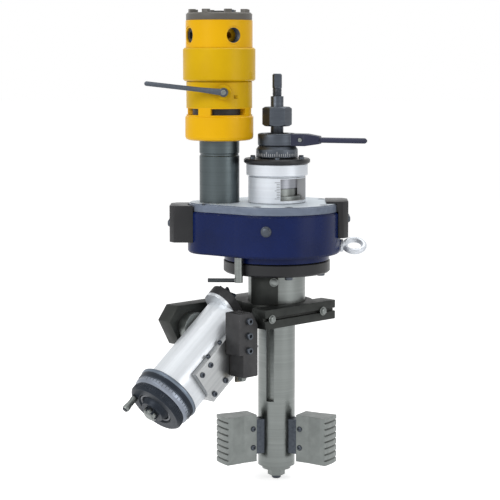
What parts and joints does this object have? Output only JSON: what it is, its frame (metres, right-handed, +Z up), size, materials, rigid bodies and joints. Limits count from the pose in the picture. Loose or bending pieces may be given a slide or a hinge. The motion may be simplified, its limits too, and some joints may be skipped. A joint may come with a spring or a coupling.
{
  "type": "pipe beveling machine",
  "caption": "Inside-clamping pipe end beveling machine: expanding-leg mandrel, geared rotating tool head with a swivelling bevel slide, screw feed and an upright air motor.",
  "frame": {"origin": "centre of the three clamp feet on the spindle axis, which is the middle of the clamped length inside the pipe", "axes": "+Z up along the spindle out of the pipe, +X from the motor side to the lifting eye side, -Y towards the viewer of the picture"},
  "size_m": [0.2984, 0.2322, 0.594],
  "materials": {
    "yellow_paint": "gloss",
    "blue_paint": "gloss",
    "black_paint": "satin",
    "navy_grip": "satin",
    "silver_steel": "satin",
    "steel": "ground",
    "dark_steel": "blackened",
    "bronze": "turned",
    "grey_steel": "ground",
    "black_plastic": "matte",
    "carbide": "coated"
  },
  "bodies": {
    "mandrel": {"mandrel": "steel"},
    "draw_rod": {"draw_rod": "dark_steel", "expander": "steel"},
    "draw_nut": {"draw_nut": "dark_steel"},
    "leg_1": {"clamp_leg_1": "dark_steel", "clamp_foot_1": "steel"},
    "leg_2": {"clamp_leg_2": "dark_steel", "clamp_foot_2": "steel"},
    "leg_3": {"clamp_leg_3": "dark_steel", "clamp_foot_3": "steel"},
    "head": {"guide_bush": "bronze", "feed_body": "silver_steel", "retainer": "black_paint", "gear_housing": "blue_paint", "top_plate": "silver_steel", "plate_screws": "dark_steel", "end_guard_left": "black_paint", "end_guard_right": "black_paint", "lifting_eye": "steel", "trip_post": "grey_steel", "lower_bearing": "steel", "upper_bearing": "steel", "motor_column": "dark_steel", "gear_case": "yellow_paint", "exhaust_ring": "yellow_paint", "silencer": "black_plastic", "throttle_collar": "yellow_paint", "motor_barrel": "yellow_paint", "port_head": "yellow_paint", "port_plugs": "black_plastic", "motor_cap": "black_paint", "drive_bearing": "steel"},
    "feed_nut": {"feed_nut": "bronze", "feed_dial": "black_paint", "ratchet_wheel": "steel"},
    "ratchet_lever": {"ratchet_lever": "navy_grip", "pawl": "steel"},
    "throttle_lever": {"throttle_lever": "steel"},
    "drive": {"rotor": "steel", "drive_shaft": "steel", "drive_pinion": "steel"},
    "spindle": {"spindle": "silver_steel", "spindle_gear": "steel", "faceplate": "black_paint", "drive_posts": "black_paint", "tool_yoke": "dark_steel"},
    "slide": {"slide_body": "silver_steel", "swivel_trunnion": "steel", "star_case": "dark_steel", "end_flange": "grey_steel"},
    "star": {"star_wheel": "dark_steel", "star_shaft": "steel"},
    "lead_screw": {"lead_screw": "steel", "dial_ring": "silver_steel", "handwheel": "dark_steel"},
    "crank_grip": {"crank_grip": "black_plastic"},
    "carriage": {"carriage": "grey_steel", "tool_post": "dark_steel", "tool_bit": "steel", "tool_insert": "carbide"}
  },
  "joints": [
    {"name": "draw_rod_lift", "type": "slide", "parent": "mandrel", "child": "draw_rod", "axis": [0, 0, 1], "range_m": [-0.012, 0.003]},
    {"name": "draw_nut_turn", "type": "hinge", "parent": "mandrel", "child": "draw_nut", "pos_m": [0, 0, 0.403], "axis": [0, 0, 1], "range_deg": [-620, 2470]},
    {"name": "leg_1_expand", "type": "slide", "parent": "mandrel", "child": "leg_1", "axis": [0, 1, 0], "range_m": [-0.0022, 0.0006]},
    {"name": "leg_2_expand", "type": "slide", "parent": "mandrel", "child": "leg_2", "axis": [-0.866, -0.5, 0], "range_m": [-0.0022, 0.0006]},
    {"name": "leg_3_expand", "type": "slide", "parent": "mandrel", "child": "leg_3", "axis": [0.866, -0.5, 0], "range_m": [-0.0022, 0.0006]},
    {"name": "head_feed", "type": "slide", "parent": "mandrel", "child": "head", "axis": [0, 0, 1], "range_m": [-0.025, 0.006]},
    {"name": "feed_nut_turn", "type": "hinge", "parent": "head", "child": "feed_nut", "pos_m": [0, 0, 0.36], "axis": [0, 0, 1], "range_deg": [-3010, 730]},
    {"name": "ratchet_swing", "type": "hinge", "parent": "head", "child": "ratchet_lever", "pos_m": [0, 0, 0.3745], "axis": [0, 0, 1], "range_deg": [-100, 100]},
    {"name": "throttle_swing", "type": "hinge", "parent": "head", "child": "throttle_lever", "pos_m": [-0.065, -0.046, 0.434], "axis": [0, -1, 0], "range_deg": [0, 45]},
    {"name": "spindle_turn", "type": "hinge", "parent": "head", "child": "spindle", "pos_m": [0, 0, 0.2], "axis": [0, 0, 1], "continuous": true},
    {"name": "drive_turn", "type": "hinge", "parent": "head", "child": "drive", "pos_m": [-0.072, 0, 0.3], "axis": [0, 0, 1], "continuous": true},
    {"name": "bevel_swivel", "type": "hinge", "parent": "spindle", "child": "slide", "pos_m": [-0.08485, -0.06223, 0.143], "axis": [0.7071, -0.7071, 0], "range_deg": [-12.5, 7.5]},
    {"name": "carriage_feed", "type": "slide", "parent": "slide", "child": "carriage", "axis": [-0.561, -0.561, -0.6088], "range_m": [-0.002, 0.02]},
    {"name": "handwheel_turn", "type": "hinge", "parent": "slide", "child": "lead_screw", "pos_m": [-0.12906, -0.10643, 0.07663], "axis": [-0.561, -0.561, -0.6088], "range_deg": [-370, 3610]},
    {"name": "star_turn", "type": "hinge", "parent": "slide", "child": "star", "pos_m": [-0.06663, -0.044, 0.17841], "axis": [-0.561, -0.561, -0.6088], "range_deg": [-3610, 370]},
    {"name": "grip_spin", "type": "hinge", "parent": "lead_screw", "child": "crank_grip", "pos_m": [-0.17572, -0.11758, 0.06354], "axis": [-0.561, -0.561, -0.6088], "continuous": true}
  ],
  "couplings": [
    {"joint": "draw_nut_turn", "follows": "draw_rod_lift", "rad_per_m": -3590.4},
    {"joint": "leg_1_expand", "follows": "draw_rod_lift", "ratio": 0.18},
    {"joint": "leg_2_expand", "follows": "draw_rod_lift", "ratio": 0.18},
    {"joint": "leg_3_expand", "follows": "draw_rod_lift", "ratio": 0.18},
    {"joint": "feed_nut_turn", "follows": "head_feed", "rad_per_m": 2094.4},
    {"joint": "drive_turn", "follows": "spindle_turn", "ratio": -3},
    {"joint": "handwheel_turn", "follows": "carriage_feed", "rad_per_m": 3141.6},
    {"joint": "star_turn", "follows": "carriage_feed", "rad_per_m": -3141.6}
  ]
}
